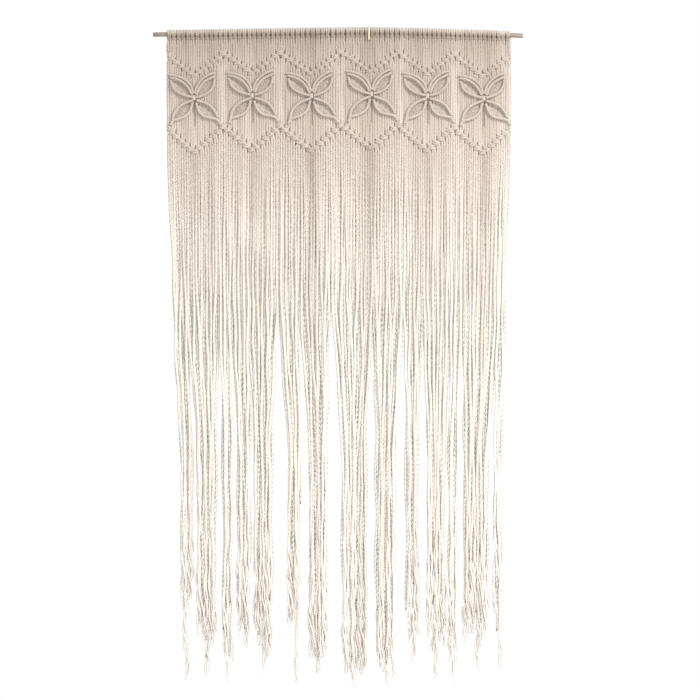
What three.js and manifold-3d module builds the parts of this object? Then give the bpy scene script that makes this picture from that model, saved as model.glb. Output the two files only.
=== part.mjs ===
// A macrame curtain on a wooden rod, in millimetres.
// X runs to the right seen from the front, Y runs back towards the wall and Z runs up.
// The origin is the point that carries the hanging loop, at its inner top.
import * as THREE from 'three';
import { mergeVertices } from 'three/addons/utils/BufferGeometryUtils.js';
import Module from 'manifold-3d';

const wasm = await Module();
wasm.setup();

// Rod: a dowel that hangs from one point, so that both its ends droop a little.
const ROD_LENGTH = 1000;
const ROD_RADIUS = 6;
const ROD_LEFT = -584;
const ROD_RIGHT = ROD_LEFT + ROD_LENGTH;
const ROD_BELOW_HOLD = 13;
const ROD_DROOP_LEFT = 8.6;
const ROD_DROOP_RIGHT = 11.4;
const ROD_BEND_REACH = 100;
const ROD_SIDES = 10;
const ROD_STEPS = 24;

// Hanging loop: a cord round the rod that carries it all, with its tied end in front of the heading.
const CLEARANCE = 0.45;
const LOOP_CORD = 3.6;
const LOOP_SIDES = 6;
const LOOP_STEPS = 12;
const LOOP_END = { top: -12, bottom: -37, topY: -8.5, bottomY: -9.6 };

// Cords: each lark's head gives a pair, which runs as one flat strand down to the lower V.
const CORD_PLANE = -5;
const PAIRS = 12;
const PAIR_SHARE = 0.84;
const PAIR_DEPTH = 4;
const PANEL_GAP = 1;

// Heading: lark's heads wrap the rod and close below it, where the cords leave.
// Its front and back are depths from the rod's axis, and its ends taper above and below.
const HEADING = { top: 10.5, bottom: -17, crest: -11.5, valley: -9.5, back: 9.5 };
const HEADING_TOP_SHARE = 0.65;
const HEADING_FOOT_SHARE = 0.35;
const HEADING_CORD_TOP = 11.5;
const BORE_SIDES = 8;
const LOOP_SLOT = 8;

// Knotted rows: heights from the flower's centre, and depths.
// The upper V stands on the front of the cords with feet at its ends, and the lower V holds them.
const UPPER_V = { end: 116, vertex: 59, height: 9, crest: -12, valley: -10, back: -7.5, foot: -5 };
const LOWER_V = { end: -82, vertex: -148, height: 17, crest: -12, valley: -9, back: -0.5 };
const ARM_RIDGES = 6;
const FOOT_LENGTH = 5;

// Flower: four leaf-shaped petals, each a ring of knots that stands on the front of the cords.
// The upper edge of the upper petals is a double row. A small tie holds a petal's tip to the cords.
const RING_RADIUS = 8.5;
const RING_WIDTH = 7.5;
const RING_BACK = -7.5;
const RING_HEIGHT = 6;
const RING_STEPS = 8;
const RING_START = 5;
const TIE_WIDTH = 4;
const TIE_FRONT = -9;
const KNOT_RADIUS = 7.5;
const KNOT_LIFT = 6.5;
const PETALS = [
  { tipX: -66, tipZ: 56, above: 17, below: 16.5, rows: 2 },
  { tipX: 57, tipZ: 59, above: 14.5, below: 17, rows: 2 },
  { tipX: -57, tipZ: -61, above: 12, below: 17, rows: 1 },
  { tipX: 66, tipZ: -56, above: 12, below: 19, rows: 1 },
];

// Panels from left to right: the side edges and the flower's centre.
const PANELS = [
  { left: -546, right: -394.5, flowerX: -473, flowerZ: -193.5 },
  { left: -394.5, right: -240.5, flowerX: -316, flowerZ: -187 },
  { left: -240.5, right: -77.5, flowerX: -155.5, flowerZ: -188.5 },
  { left: -77.5, right: 81, flowerX: 6, flowerZ: -183.5 },
  { left: 81, right: 232.5, flowerX: 158, flowerZ: -188.5 },
  { left: 232.5, right: 381, flowerX: 309.5, flowerZ: -195 },
];

// Fringe: the cords hang straight, then gather into bundles with clear gaps between them.
const STRAND_RADIUS = 2.7;
const STRAND_SIDES = 3;
const STRAND_STEPS = 3;
const LAYER = 3;
const LAYER_START = 10;
const LAYER_FADE = 240;
const GATHER_TOP = -740;
const GATHER_END = -1335;
const RAGGED = 90;

// Bundles from left to right: how many cords gather, where, and how low they and their longest cord end.
const BUNDLES = [
  { strands: 8, centre: -494, width: 32, hem: -1570, longest: -1755 },
  { strands: 14, centre: -438, width: 59, hem: -1680, longest: -1745 },
  { strands: 5, centre: -382, width: 24, hem: -1700, longest: -1786 },
  { strands: 8, centre: -339, width: 35, hem: -1645, longest: -1670 },
  { strands: 12, centre: -284, width: 54, hem: -1705, longest: -1725 },
  { strands: 8, centre: -201, width: 35, hem: -1615, longest: -1765 },
  { strands: 13, centre: -138, width: 54, hem: -1700, longest: -1730 },
  { strands: 17, centre: -42, width: 73, hem: -1745, longest: -1770 },
  { strands: 13, centre: 45, width: 57, hem: -1750, longest: -1780 },
  { strands: 8, centre: 118, width: 35, hem: -1665, longest: -1700 },
  { strands: 12, centre: 181, width: 54, hem: -1690, longest: -1745 },
  { strands: 5, centre: 226, width: 24, hem: -1720, longest: -1783 },
  { strands: 17, centre: 289, width: 70, hem: -1660, longest: -1732 },
  { strands: 4, centre: 346, width: 16, hem: -1640, longest: -1718 },
];

const COTTON = { color: 0xe6d9cb, roughness: 0.95, metalness: 0 };
const LOOP_COTTON = { color: 0xf2e8d8, roughness: 0.95, metalness: 0 };
const WOOD = { color: 0xb2937c, roughness: 0.7, metalness: 0 };

// A closed geometry as a solid that can be joined and cut.
function toSolid(geometry) {
  geometry.deleteAttribute('normal');
  geometry.deleteAttribute('uv');
  const merged = mergeVertices(geometry);
  const vertProperties = merged.getAttribute('position').array;
  const triVerts = new Uint32Array(merged.index.array);
  return new wasm.Manifold(new wasm.Mesh({ numProp: 3, vertProperties, triVerts }));
}

function toGeometry(solid) {
  const { vertProperties, triVerts } = solid.getMesh();
  const geometry = new THREE.BufferGeometry();
  geometry.setAttribute('position', new THREE.BufferAttribute(vertProperties, 3));
  geometry.setIndex(new THREE.BufferAttribute(triVerts, 1));
  geometry.computeVertexNormals();
  return geometry;
}

// Moves every point of a geometry by a rule that changes the point in place.
function reshape(geometry, rule) {
  const position = geometry.getAttribute('position');
  const point = new THREE.Vector3();
  for (let i = 0; i < position.count; i += 1) {
    point.fromBufferAttribute(position, i);
    rule(point);
    position.setXYZ(i, point.x, point.y, point.z);
  }
  return geometry;
}

// The height of the rod's axis at x: level under the loop, then an almost straight slope to each end.
function rodAxis(x) {
  const bend = (reach) => Math.hypot(1, reach / ROD_BEND_REACH) - 1;
  const end = x < 0 ? ROD_LEFT : ROD_RIGHT;
  const droop = x < 0 ? ROD_DROOP_LEFT : ROD_DROOP_RIGHT;
  return -ROD_BELOW_HOLD - (droop * bend(x)) / bend(end);
}

function bendWithRod(point) {
  point.z += rodAxis(point.x);
}

// A round bar along the rod's bent axis.
function rodBar(left, right, radius, sides) {
  const length = right - left;
  const steps = Math.ceil((length * ROD_STEPS) / ROD_LENGTH);
  const bar = new THREE.CylinderGeometry(radius, radius, length, sides, steps);
  bar.rotateZ(-Math.PI / 2);
  bar.translate((left + right) / 2, 0, 0);
  return reshape(bar, bendWithRod);
}

// The loop is a ring round the rod whose upper half is drawn up to its hold.
function loopRing() {
  const inner = (ROD_RADIUS + CLEARANCE) / Math.cos(Math.PI / LOOP_STEPS);
  const middle = inner + LOOP_CORD / 2;
  const profile = [];
  for (let i = 0; i <= LOOP_SIDES; i += 1) {
    const turn = (2 * Math.PI * i) / LOOP_SIDES;
    profile.push(new THREE.Vector2(
      middle + (LOOP_CORD / 2) * Math.cos(turn),
      (LOOP_CORD / 2) * Math.sin(turn),
    ));
  }
  const ring = new THREE.LatheGeometry(profile, LOOP_STEPS);
  ring.rotateZ(-Math.PI / 2);
  const lift = ROD_BELOW_HOLD - inner;
  return reshape(ring, (point) => {
    const rise = Math.max(0, point.z) / Math.hypot(point.y, point.z);
    point.z += lift * rise;
    bendWithRod(point);
  });
}

// The tied end of the loop hangs down its front, between two lark's heads and before the cords.
function loopEnd() {
  const { top, bottom, topY, bottomY } = LOOP_END;
  const end = new THREE.CylinderGeometry(LOOP_CORD / 2, LOOP_CORD / 2, top - bottom, LOOP_SIDES);
  end.rotateX(Math.PI / 2);
  return reshape(end, (point) => {
    point.z += (top + bottom) / 2;
    point.y += THREE.MathUtils.mapLinear(point.z, top, bottom, topY, bottomY);
  });
}

function makeLoop() {
  return toGeometry(toSolid(loopRing()).add(toSolid(loopEnd())));
}

// A bar of knots seen from above: a ridge for each knot on its front and a straight back,
// or, where it has feet, a back that reaches into the cords at its ends alone.
function ridgedOutline(start, end, ridges, row) {
  const pitch = (end - start) / ridges;
  const outline = new THREE.Shape();
  if (row.foot === undefined) {
    outline.moveTo(end, row.back);
    outline.lineTo(start, row.back);
  } else {
    const foot = Math.sign(end - start) * FOOT_LENGTH;
    outline.moveTo(end, row.foot);
    outline.lineTo(end - foot, row.foot);
    outline.lineTo(end - foot, row.back);
    outline.lineTo(start + foot, row.back);
    outline.lineTo(start + foot, row.foot);
    outline.lineTo(start, row.foot);
  }
  for (let i = 0; i <= 2 * ridges; i += 1) {
    outline.lineTo(start + (pitch * i) / 2, i % 2 === 1 ? row.crest : row.valley);
  }
  return outline;
}

// A stretch of heading: a bar with a ridge for each lark's head, bored for the rod.
function headingStretch(left, right, knots) {
  const height = HEADING.top - HEADING.bottom;
  const outline = ridgedOutline(left, right, knots, HEADING);
  const bar = new THREE.ExtrudeGeometry(outline, { depth: height, steps: 2, bevelEnabled: false });
  reshape(bar, (point) => {
    if (point.z === 0) {
      point.y = CORD_PLANE + point.y * HEADING_FOOT_SHARE;
    } else if (point.z === height) {
      point.y *= HEADING_TOP_SHARE;
    }
    point.z += HEADING.bottom;
    bendWithRod(point);
  });
  const radius = (ROD_RADIUS + CLEARANCE) / Math.cos(Math.PI / BORE_SIDES);
  const bore = rodBar(left - PANEL_GAP, right + PANEL_GAP, radius, BORE_SIDES);
  return toSolid(bar).subtract(toSolid(bore));
}

// The height of a V-shaped row of knots at x, in a panel.
function rowHeight(panel, row, x) {
  const end = x < panel.flowerX ? panel.left : panel.right;
  const reach = Math.abs((x - panel.flowerX) / (end - panel.flowerX));
  return panel.flowerZ + row.vertex + (row.end - row.vertex) * reach;
}

// One arm of a V, from the panel's edge to below or above the flower.
function rowArm(panel, row, end) {
  const outer = end + Math.sign(panel.flowerX - end) * (PANEL_GAP / 2);
  const outline = ridgedOutline(outer, panel.flowerX, ARM_RIDGES, row);
  const arm = new THREE.ExtrudeGeometry(outline, { depth: row.height, bevelEnabled: false });
  const slope = (row.end - row.vertex) / (end - panel.flowerX);
  const vertex = panel.flowerZ + row.vertex - row.height / 2;
  return toSolid(reshape(arm, (point) => {
    point.z += vertex + slope * (point.x - panel.flowerX);
  }));
}

// A pair of cords as one flat strand, from the heading to the middle of the lower V.
function pairStrand(panel, index) {
  const pitch = (panel.right - panel.left) / PAIRS;
  const x = panel.left + pitch * (index + 0.5);
  const half = (pitch * PAIR_SHARE) / 2;
  const top = rodAxis(x) - HEADING_CORD_TOP;
  const bottom = rowHeight(panel, LOWER_V, x);
  const strand = new THREE.BoxGeometry(2 * half, PAIR_DEPTH, top - bottom);
  strand.translate(x, CORD_PLANE, (top + bottom) / 2);
  return toSolid(strand);
}

// A petal: a ring of triangular section, drawn out into a leaf from the flower's knot to its tip.
function makePetal(panel, petal) {
  const profile = [
    new THREE.Vector2(RING_RADIUS - RING_WIDTH / 2, 0),
    new THREE.Vector2(RING_RADIUS + RING_WIDTH / 2, 0),
    new THREE.Vector2(RING_RADIUS, RING_HEIGHT),
  ];
  profile.push(profile[0]);
  const ring = new THREE.LatheGeometry(profile, RING_STEPS);
  const along = new THREE.Vector2(petal.tipX, petal.tipZ);
  const length = along.length() - RING_START;
  along.normalize();
  const across = new THREE.Vector2(-along.y, along.x);
  return toSolid(reshape(ring, (point) => {
    const distance = Math.hypot(point.x, point.z);
    const cos = point.z / distance;
    const sin = point.x / distance;
    const isAbove = sin * across.y > 0;
    const rows = isAbove ? petal.rows : 1;
    const bulge = (isAbove ? petal.above : petal.below) * Math.sign(sin);
    const far = RING_START + (length * (1 + cos)) / 2 + (distance - RING_RADIUS) * cos;
    const aside = bulge * sin * sin + (distance - RING_RADIUS) * rows * sin;
    point.set(
      panel.flowerX + along.x * far + across.x * aside,
      RING_BACK - point.y,
      panel.flowerZ + along.y * far + across.y * aside,
    );
  }));
}

function petalTie(panel, petal) {
  const tie = new THREE.BoxGeometry(TIE_WIDTH, CORD_PLANE - TIE_FRONT, TIE_WIDTH);
  tie.translate(panel.flowerX + petal.tipX, (CORD_PLANE + TIE_FRONT) / 2, panel.flowerZ + petal.tipZ);
  return toSolid(tie);
}

function flowerKnot(panel) {
  const knot = new THREE.IcosahedronGeometry(KNOT_RADIUS, 0);
  knot.translate(panel.flowerX, CORD_PLANE - KNOT_LIFT, panel.flowerZ);
  return toSolid(knot);
}

// A number from 0 to 1 that looks random but is the same for the same cord.
function uneven(index) {
  const wave = Math.sin((index + 1) * 12.9898) * 43758.5453;
  return wave - Math.floor(wave);
}

// Where each cord of the whole curtain ends, counted from the left.
function cordFeet() {
  const feet = [];
  for (const bundle of BUNDLES) {
    for (let i = 0; i < bundle.strands; i += 1) {
      const share = (i + 0.5) / bundle.strands - 0.5;
      const isLongest = i === Math.floor(bundle.strands / 2);
      const hem = bundle.hem + RAGGED * uneven(feet.length);
      feet.push({ x: bundle.centre + bundle.width * share, z: isLongest ? bundle.longest : hem });
    }
  }
  return feet;
}

// A fringe cord: straight under its knot, then into its bundle, in the front or the back layer.
class FringePath extends THREE.Curve {
  constructor(root, foot, layer) {
    super();
    this.root = root;
    this.foot = foot;
    this.layer = layer;
  }

  getPoint(t, target = new THREE.Vector3()) {
    const z = THREE.MathUtils.lerp(this.root.z, this.foot.z, t);
    const gathered = THREE.MathUtils.smoothstep(-z, -GATHER_TOP, -GATHER_END);
    const fallen = this.root.z - z;
    const parted = THREE.MathUtils.smoothstep(fallen, LAYER_START, LAYER_FADE);
    const x = THREE.MathUtils.lerp(this.root.x, this.foot.x, gathered);
    return target.set(x, CORD_PLANE + this.layer * parted, z);
  }
}

function fringeStrand(panel, x, foot, layer) {
  const corners = [];
  for (let i = 0; i < STRAND_SIDES; i += 1) {
    const turn = (2 * Math.PI * i) / STRAND_SIDES;
    corners.push(new THREE.Vector2(STRAND_RADIUS * Math.cos(turn), STRAND_RADIUS * Math.sin(turn)));
  }
  const root = { x, z: rowHeight(panel, LOWER_V, x) };
  const extrudePath = new FringePath(root, foot, layer);
  const options = { steps: STRAND_STEPS, extrudePath };
  return toSolid(new THREE.ExtrudeGeometry(new THREE.Shape(corners), options));
}

function headingSolids(panel) {
  const left = panel.left + PANEL_GAP / 2;
  const right = panel.right - PANEL_GAP / 2;
  if (left > 0 || right < 0) {
    return [headingStretch(left, right, PAIRS)];
  }
  const knots = Math.round((-left / (right - left)) * PAIRS);
  return [
    headingStretch(left, -LOOP_SLOT / 2, knots),
    headingStretch(LOOP_SLOT / 2, right, PAIRS - knots),
  ];
}

function makePanel(panel, feet, firstCord) {
  const solids = headingSolids(panel);
  for (let i = 0; i < PAIRS; i += 1) {
    solids.push(pairStrand(panel, i));
  }
  for (const row of [UPPER_V, LOWER_V]) {
    solids.push(rowArm(panel, row, panel.left));
    solids.push(rowArm(panel, row, panel.right));
  }
  for (const petal of PETALS) {
    solids.push(makePetal(panel, petal), petalTie(panel, petal));
  }
  solids.push(flowerKnot(panel));
  const cords = 2 * PAIRS;
  for (let i = 0; i < cords; i += 1) {
    const x = panel.left + ((panel.right - panel.left) * (i + 0.5)) / cords;
    const layer = i % 2 === 0 ? -LAYER : LAYER;
    solids.push(fringeStrand(panel, x, feet[firstCord + i], layer));
  }
  return toGeometry(solids.reduce((whole, solid) => whole.add(solid)));
}

function addPart(curtain, name, geometry, finish) {
  const mesh = new THREE.Mesh(geometry, new THREE.MeshStandardMaterial(finish));
  mesh.name = name;
  curtain.add(mesh);
}

function makeCurtain() {
  const curtain = new THREE.Group();
  addPart(curtain, 'rod', rodBar(ROD_LEFT, ROD_RIGHT, ROD_RADIUS, ROD_SIDES), WOOD);
  addPart(curtain, 'hanging_loop', makeLoop(), LOOP_COTTON);
  const feet = cordFeet();
  PANELS.forEach((panel, i) => {
    addPart(curtain, `panel_${i + 1}`, makePanel(panel, feet, 2 * PAIRS * i), COTTON);
  });
  return curtain;
}

export default makeCurtain();
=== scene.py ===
# %% [markdown]
# A macrame curtain on a wooden rod. One hundred and forty-four cotton cords hang from
# lark's heads on a dowel. They are knotted into six panels, each with a flower between
# two zigzags, and then they hang free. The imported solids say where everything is, and
# this script gives each solid its real yarn, wood and light.

import math

import bpy
import numpy as np
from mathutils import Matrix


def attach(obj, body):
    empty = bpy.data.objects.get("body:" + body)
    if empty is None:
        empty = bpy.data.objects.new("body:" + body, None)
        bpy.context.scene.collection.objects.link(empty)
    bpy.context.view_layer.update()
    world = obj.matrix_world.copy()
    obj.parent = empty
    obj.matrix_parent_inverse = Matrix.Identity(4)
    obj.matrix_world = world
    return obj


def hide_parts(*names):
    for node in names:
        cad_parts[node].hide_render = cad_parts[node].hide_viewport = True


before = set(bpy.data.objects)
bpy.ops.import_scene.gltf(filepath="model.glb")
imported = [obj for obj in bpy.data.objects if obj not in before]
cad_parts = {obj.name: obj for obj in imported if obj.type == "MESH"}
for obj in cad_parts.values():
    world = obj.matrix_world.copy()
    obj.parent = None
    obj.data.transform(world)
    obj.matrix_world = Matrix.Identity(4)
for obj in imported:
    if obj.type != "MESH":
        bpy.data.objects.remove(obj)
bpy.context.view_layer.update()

# %% [markdown]
# The sizes are the maker's own, in millimetres, and match the solids: the rod, the six
# panels, the two zigzags, and the bundles into which the fringe falls. Only the gathering
# differs: the yarn goes into its bundles a little sooner and tighter than the plain
# strands do, because the photograph shows clear gaps there. Blender works in metres, so
# each mesh is scaled once, when it is made.

# %% Sizes of the curtain
MM = 0.001
ROD_LEFT, ROD_RIGHT, ROD_RADIUS, ROD_BELOW_HOLD = -584.0, 416.0, 6.0, 13.0
ROD_DROOP_LEFT, ROD_DROOP_RIGHT, ROD_BEND_REACH = 8.6, 11.4, 100.0
CORD_PLANE = -5.0
PAIRS = 12
PANELS = [
    dict(left=-546.0, right=-394.5, x=-473.0, z=-193.5),
    dict(left=-394.5, right=-240.5, x=-316.0, z=-187.0),
    dict(left=-240.5, right=-77.5, x=-155.5, z=-188.5),
    dict(left=-77.5, right=81.0, x=6.0, z=-183.5),
    dict(left=81.0, right=232.5, x=158.0, z=-188.5),
    dict(left=232.5, right=381.0, x=309.5, z=-195.0),
]
BUNDLES = [
    dict(strands=8, centre=-494, width=32, hem=-1570, longest=-1755),
    dict(strands=14, centre=-438, width=59, hem=-1680, longest=-1745),
    dict(strands=5, centre=-382, width=24, hem=-1700, longest=-1786),
    dict(strands=8, centre=-339, width=35, hem=-1645, longest=-1670),
    dict(strands=12, centre=-284, width=54, hem=-1705, longest=-1725),
    dict(strands=8, centre=-201, width=35, hem=-1615, longest=-1765),
    dict(strands=13, centre=-138, width=54, hem=-1700, longest=-1730),
    dict(strands=17, centre=-42, width=73, hem=-1745, longest=-1770),
    dict(strands=13, centre=45, width=57, hem=-1750, longest=-1780),
    dict(strands=8, centre=118, width=35, hem=-1665, longest=-1700),
    dict(strands=12, centre=181, width=54, hem=-1690, longest=-1745),
    dict(strands=5, centre=226, width=24, hem=-1720, longest=-1783),
    dict(strands=17, centre=289, width=70, hem=-1660, longest=-1732),
    dict(strands=4, centre=346, width=16, hem=-1640, longest=-1718),
]
GATHER_TOP, GATHER_END = -700.0, -1200.0
RAGGED, TIGHT = 90.0, 0.84
UPPER_V = dict(end=116.0, vertex=59.0)
LOWER_V = dict(end=-82.0, vertex=-148.0)
print("cords:", sum(bundle["strands"] for bundle in BUNDLES))


# %% [markdown]
# The rod hangs from one point, so it bows a little. A modifier could bend it, but a
# formula also tells the cords how high the rod is where they hang. A number that looks
# random but never changes keeps the ragged hem the same as in the solids. Most changes
# along a cord are smooth steps from 0 to 1, or waves.

# %% The rod's curve and the fixed unevenness
def rod_axis(x):
    """The height of the rod's middle at x."""
    end, droop = (ROD_LEFT, ROD_DROOP_LEFT) if x < 0 else (ROD_RIGHT, ROD_DROOP_RIGHT)

    def bend(reach):
        return math.hypot(1, reach / ROD_BEND_REACH) - 1

    return -ROD_BELOW_HOLD - droop * bend(x) / bend(end)


def uneven(index):
    """A number from 0 to 1, always the same for the same index."""
    scattered = math.sin((index + 1) * 12.9898) * 43758.5453
    return scattered - math.floor(scattered)


def ease(value, start, end):
    """A smooth step: 0 up to the start and 1 from the end on."""
    share = np.clip((value - start) / (end - start), 0, 1)
    return share * share * (3 - 2 * share)


def wave(cycles, phase=0.0):
    return np.sin(2 * math.pi * cycles + phase)


def row_height(panel, row, x):
    """The height of a zigzag of knots at x."""
    end = panel["left"] if x < panel["x"] else panel["right"]
    reach = abs((x - panel["x"]) / (end - panel["x"]))
    return panel["z"] + row["vertex"] + (row["end"] - row["vertex"]) * reach


def cord_feet():
    """Where each cord ends, counted from the left. The yarn fills its bundle to the
    edges, so its middle lines lie a little closer together than the bundle is wide."""
    feet = []
    for bundle in BUNDLES:
        for i in range(bundle["strands"]):
            share = (i + 0.5) / bundle["strands"] - 0.5
            hem = bundle["hem"] + RAGGED * uneven(len(feet))
            is_longest = i == bundle["strands"] // 2
            z = bundle["longest"] if is_longest else hem
            feet.append((bundle["centre"] + TIGHT * bundle["width"] * share, z))
    return feet


FEET = cord_feet()
print("lowest foot:", min(foot[1] for foot in FEET), "mm")

# %% [markdown]
# A cord starts as a short list of places that it passes. A smooth curve runs through
# them, and is then cut into rings: close together where the cord turns in a knot, wider
# apart where it hangs straight, and a little closer again near its loose foot. Blender's
# own curve objects cut every stretch into the same number of parts, which would be too
# many down the fringe or too few in the knots.

# %% A smooth run of rings along a cord
KNOT_STEP, HANG_STEP, FOOT_STEP = 3.0, 8.2, 5.8
FOOT_TOP = -1300.0
BELOW_KNOTS, STAGGER = 16.0, 14.0


def smooth_run(places, step_at):
    """Points along a smooth curve through the places, one step apart."""
    p = np.asarray(places, float)
    p = np.vstack([2 * p[0] - p[1], p, 2 * p[-1] - p[-2]])
    t = np.linspace(0, 1, 8, endpoint=False)[:, None]
    a, b, c, d = p[:-3, None], p[1:-2, None], p[2:-1, None], p[3:, None]
    run = 0.5 * (
        2 * b + (c - a) * t + (2 * a - 5 * b + 4 * c - d) * t**2
        + (3 * b - a - 3 * c + d) * t**3
    )
    run = np.vstack([run.reshape(-1, p.shape[1]), p[-2]])
    length = np.linalg.norm(np.diff(run[:, :3], axis=0), axis=1)
    rings = np.concatenate([[0], np.cumsum(length / step_at(run[:-1]))])
    count = max(3, round(rings[-1]))
    wanted = np.linspace(0, rings[-1], count + 1)
    return np.stack([np.interp(wanted, rings, axis) for axis in run.T], 1)


def zigzag_corners(row):
    """The x and the z of a zigzag's corners, from left to right."""
    corners = [(panel["left"], panel["z"] + row["end"]) for panel in PANELS]
    corners += [(panel["x"], panel["z"] + row["vertex"]) for panel in PANELS]
    corners.append((PANELS[-1]["right"], PANELS[-1]["z"] + row["end"]))
    return np.array(sorted(corners)).T


LOWER_CORNERS = zigzag_corners(LOWER_V)


def cord_step(run):
    """Short steps down to a little below the lower zigzag, and then long ones. The
    change is staggered from cord to cord, so it draws no line across the fringe."""
    x, z = run[:, 0], run[:, 2]
    knots_end = np.interp(x, *LOWER_CORNERS) - BELOW_KNOTS - STAGGER * np.abs(np.sin(0.9 * x))
    below = np.where(z > FOOT_TOP, HANG_STEP, FOOT_STEP)
    return np.where(z > knots_end, KNOT_STEP, below)


print("zigzag corners:", LOWER_CORNERS.shape[1])


# %% [markdown]
# Three plies twisted together make the cord. Its section has three lobes, and the
# section turns a little from each ring to the next, so the lobes run round the cord as
# the plies do. Three real plies would take three times the faces and look alike from a
# step away. Unwound plies, which have no lobes, hardly turn. The cords press on one
# another, so each is a little wider than it is deep. All the cords of a panel become one
# mesh from one set of arrays, because that is far quicker than an object for each.

# %% Twisted yarn from rings
LAY, UNWOUND_LAY = 34.0, 408.0
LOBE, PRESSED = 0.05, 0.75
START_TURN = 0.38
COTTON_SIDES, PLY_SIDES = 6, 4


def carried_sides(runs):
    """The direction along each run and one across it that doesn't turn about it."""
    most = max(len(run) for run in runs)
    along = np.zeros((len(runs), most, 3))
    for i, run in enumerate(runs):
        t = np.gradient(run[:, :3], axis=0)
        t /= np.linalg.norm(t, axis=1, keepdims=True) + 1e-9
        along[i, : len(run)] = t
        along[i, len(run):] = t[-1]
    across = np.zeros_like(along)
    axis = np.eye(3)[np.abs(along[:, 0]).argmin(1)]
    side = np.cross(along[:, 0], axis)
    for k in range(most):
        side = side - (side * along[:, k]).sum(1, keepdims=True) * along[:, k]
        side /= np.linalg.norm(side, axis=1, keepdims=True) + 1e-9
        across[:, k] = side
    return along, across


def spin_yarn(name, strands):
    """One closed mesh from strands of (run, radii, sides, lobe, tone)."""
    along, across = carried_sides([strand[0] for strand in strands])
    points, corners, sizes, tape, yarn, tones = [], [], [], [], [], []
    first = column = 0
    for i, (run, radii, sides, lobe, tone) in enumerate(strands):
        n = len(run)
        u, v = across[i, :n], np.cross(along[i, :n], across[i, :n])
        gone = np.linalg.norm(np.diff(run[:, :3], axis=0), axis=1)
        gone = np.concatenate([[0], np.cumsum(gone)])
        lay = LAY if lobe else UNWOUND_LAY
        turn = 2 * math.pi * (gone[:, None] / lay + START_TURN * i + np.arange(sides) / sides)
        bulge = 1 + lobe * np.cos(np.arange(sides) * math.pi)
        r = (np.broadcast_to(radii, n)[:, None] * bulge)[..., None]
        ring = r * (np.cos(turn)[..., None] * u[:, None] + np.sin(turn)[..., None] * v[:, None])
        ring[..., 1] *= PRESSED
        points.append((run[:, None, :3] + ring).reshape(-1, 3))
        tones.append(np.repeat(np.broadcast_to(tone, n), sides))
        k, j = np.meshgrid(np.arange(n - 1), np.arange(sides), indexing="ij")
        ring_at, side_at = np.stack([k, k, k + 1, k + 1], -1), np.stack([j, j + 1, j + 1, j], -1)
        corners.append((first + ring_at * sides + side_at % sides).ravel())
        sizes.append(np.full(k.size, 4))
        cell = np.stack([column + k] * 4, -1)
        tape.append(np.stack([cell, ring_at - k[..., None], side_at / sides], -1).reshape(-1, 3))
        yarn.append(np.stack([side_at / sides, gone[ring_at] / lay], -1).reshape(-1, 2))
        rim = np.arange(sides)
        for end, order, cell in ((0, rim[::-1], column + n - 1), (n - 1, rim, column + n)):
            corners.append(first + end * sides + order)
            sizes.append([sides])
            spoke = 2 * math.pi * order / sides
            laid = [np.full(sides, cell), 0.5 + 0.4 * np.cos(spoke), 0.5 + 0.4 * np.sin(spoke)]
            tape.append(np.stack(laid, 1))
            yarn.append(np.stack([order / sides, np.full(sides, gone[end] / lay)], 1))
        first += n * sides
        column += n + 1
    return build_mesh(name, points, corners, sizes, tape, yarn, tones, column)


print("plies turn once in", LAY, "mm")

# %% [markdown]
# A mesh's pattern can be baked onto a picture, which needs to know where each face lies on it.
# Blender can unwrap a mesh by itself, which is slow for this many faces, and here they are in
# order already. So the rings of every strand are laid side by side along a tape, with the two
# faces that close its ends, and the tape is cut into rows that fill the picture.

# %% The mesh and its two maps
def build_mesh(name, points, corners, sizes, tape, yarn, tones, columns):
    points, corners, sizes = map(np.concatenate, (points, corners, sizes))
    tape, yarn, tones = map(np.concatenate, (tape, yarn, tones))
    starts = np.cumsum(sizes) - sizes
    mesh = bpy.data.meshes.new(name)
    mesh.vertices.add(len(points))
    mesh.vertices.foreach_set("co", (points * MM).astype(np.float32).ravel())
    mesh.loops.add(len(corners))
    mesh.loops.foreach_set("vertex_index", corners.astype(np.int32))
    mesh.polygons.add(len(sizes))
    mesh.polygons.foreach_set("loop_start", starts.astype(np.int32))
    mesh.polygons.foreach_set("use_smooth", np.ones(len(sizes), bool))
    mesh.update(calc_edges=True)
    per_row = max(8, round(math.sqrt(columns * 4)))
    rows = -(-columns // per_row)
    row, place = np.divmod(tape[:, 0], per_row)
    laid = np.stack([(place + tape[:, 1]) / per_row, (row + 0.04 + 0.92 * tape[:, 2]) / rows], 1)
    mesh.uv_layers.new(name="Yarn").data.foreach_set("uv", yarn.astype(np.float32).ravel())
    mesh.uv_layers.new(name="OFBake").data.foreach_set("uv", laid.astype(np.float32).ravel())
    tone = mesh.attributes.new("tone", "FLOAT", "POINT")
    tone.data.foreach_set("value", tones.astype(np.float32))
    mesh.validate()
    piece = bpy.data.objects.new(name, mesh)
    bpy.context.scene.collection.objects.link(piece)
    print(f"{name}: {len(points)} points, {int((sizes - 2).sum())} triangles")
    return piece
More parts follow.
